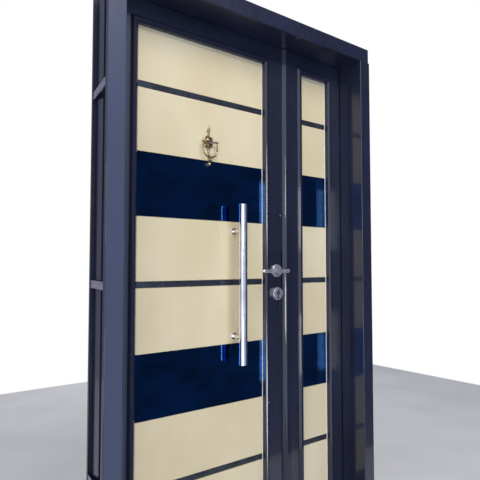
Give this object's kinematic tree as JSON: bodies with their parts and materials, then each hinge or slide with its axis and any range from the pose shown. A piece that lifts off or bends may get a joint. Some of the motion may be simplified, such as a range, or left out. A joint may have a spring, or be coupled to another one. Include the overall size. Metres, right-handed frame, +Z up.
{
  "type": "glass entrance door",
  "caption": "Inward-opening entrance door: wide and narrow leaf faced with cream and dark glass, in a pressed-steel frame with pull bar, lever, knocker and peephole.",
  "frame": {"origin": "middle of the frame's base, at floor level and half-way through the frame's depth", "axes": "+X to the right seen from outside, +Y into the building, +Z up"},
  "size_m": [1.2, 0.25, 2.05],
  "materials": {
    "navy_paint": "gloss navy-charcoal enamel",
    "inside_tube": "grey primer",
    "sill_steel": "brushed stainless",
    "strap_steel": "bare zinc-plated strip",
    "seal_rubber": "black rubber",
    "seal_silicone": "pale sealant",
    "hinge_steel": "painted with the frame",
    "pin_steel": "turned steel",
    "board": "pale board",
    "cream_glass": "cream back-painted glass",
    "band_glass": "dark blue mirror glass",
    "strip_glass": "charcoal glass strip",
    "mirror_steel": "polished stainless",
    "nickel": "satin nickel",
    "lock_steel": "zinc-plated steel",
    "nickel_lock": "nickel-plated brass",
    "knocker_brass": "antique brass",
    "viewer_brass": "turned brass",
    "lens": "clear lens"
  },
  "bodies": {
    "frame": {"jamb_left": "navy_paint", "jamb_right": "navy_paint", "head": "navy_paint", "sill": "sill_steel", "anchor_straps": "strap_steel", "frame_seal": "seal_rubber", "hinge_frame_plates": "hinge_steel", "hinge_pins": "pin_steel"},
    "main_leaf": {"main_outer_skin": "navy_paint", "main_inner_skin": "navy_paint", "main_core": "inside_tube", "main_outer_bead": "navy_paint", "main_inner_bead": "navy_paint", "main_glazing_seal": "seal_silicone", "main_backing": "board", "main_cream_panels": "cream_glass", "main_mirror_bands": "band_glass", "main_divider_strips": "strip_glass", "main_hinge_plates": "hinge_steel", "pull_bar": "mirror_steel", "pull_standoffs": "mirror_steel", "pull_bolts": "mirror_steel", "lock_case": "lock_steel", "lock_forend": "nickel", "forend_screws": "nickel", "rose_outside": "nickel", "rose_inside": "nickel", "escutcheon_outside": "nickel", "escutcheon_inside": "nickel", "cylinder_body": "nickel_lock", "knocker_plate": "knocker_brass", "knocker_bolts": "knocker_brass", "viewer_barrel": "viewer_brass", "viewer_lens": "lens"},
    "lever": {"lever_outside": "nickel", "lever_inside": "nickel", "spindle": "lock_steel", "follower": "lock_steel"},
    "latch": {"latch_bolt": "nickel"},
    "lock_plug": {"cylinder_plug": "nickel_lock", "thumb_turn": "nickel"},
    "deadbolts": {"deadbolts": "lock_steel"},
    "striker": {"knocker_striker": "knocker_brass"},
    "side_leaf": {"side_outer_skin": "navy_paint", "side_inner_skin": "navy_paint", "side_core": "inside_tube", "side_outer_bead": "navy_paint", "side_inner_bead": "navy_paint", "side_glazing_seal": "seal_silicone", "side_backing": "board", "side_cream_panels": "cream_glass", "side_mirror_bands": "band_glass", "side_divider_strips": "strip_glass", "side_hinge_plates": "hinge_steel", "meeting_strip": "navy_paint", "meeting_seal": "seal_rubber", "strike_plate": "nickel", "flush_bolt_guides": "nickel"},
    "top_bolt": {"top_flush_bolt": "lock_steel"},
    "bottom_bolt": {"bottom_flush_bolt": "lock_steel"}
  },
  "joints": [
    {"name": "main_swing", "type": "hinge", "parent": "frame", "child": "main_leaf", "pos_m": [-0.5605, 0.1015, 1.025], "axis": [0, 0, 1], "range_deg": [0, 95]},
    {"name": "side_swing", "type": "hinge", "parent": "frame", "child": "side_leaf", "pos_m": [0.5605, 0.1015, 1.025], "axis": [0, 0, -1], "range_deg": [0, 95]},
    {"name": "lever_turn", "type": "hinge", "parent": "main_leaf", "child": "lever", "pos_m": [0.157, 0.059, 1.086], "axis": [0, -1, 0], "range_deg": [0, 40], "stiffness_Nm_per_rad": 2},
    {"name": "thumb_turn", "type": "hinge", "parent": "main_leaf", "child": "lock_plug", "pos_m": [0.157, 0.059, 1], "axis": [0, 1, 0], "range_deg": [0, 180]},
    {"name": "latch_slide", "type": "slide", "parent": "main_leaf", "child": "latch", "axis": [1, 0, 0], "range_m": [0, 0.012]},
    {"name": "deadbolt_slide", "type": "slide", "parent": "main_leaf", "child": "deadbolts", "axis": [1, 0, 0], "range_m": [0, 0.02]},
    {"name": "knocker_swing", "type": "hinge", "parent": "main_leaf", "child": "striker", "pos_m": [-0.16, 0.027, 1.553], "axis": [-1, 0, 0], "range_deg": [0, 90]},
    {"name": "top_bolt_slide", "type": "slide", "parent": "side_leaf", "child": "top_bolt", "axis": [0, 0, 1], "range_m": [0, 0.018]},
    {"name": "bottom_bolt_slide", "type": "slide", "parent": "side_leaf", "child": "bottom_bolt", "axis": [0, 0, -1], "range_m": [0, 0.018]}
  ],
  "couplings": [
    {"joint": "latch_slide", "follows": "deadbolt_slide", "ratio": 0.6},
    {"joint": "thumb_turn", "follows": "deadbolt_slide", "rad_per_m": 157.08}
  ]
}
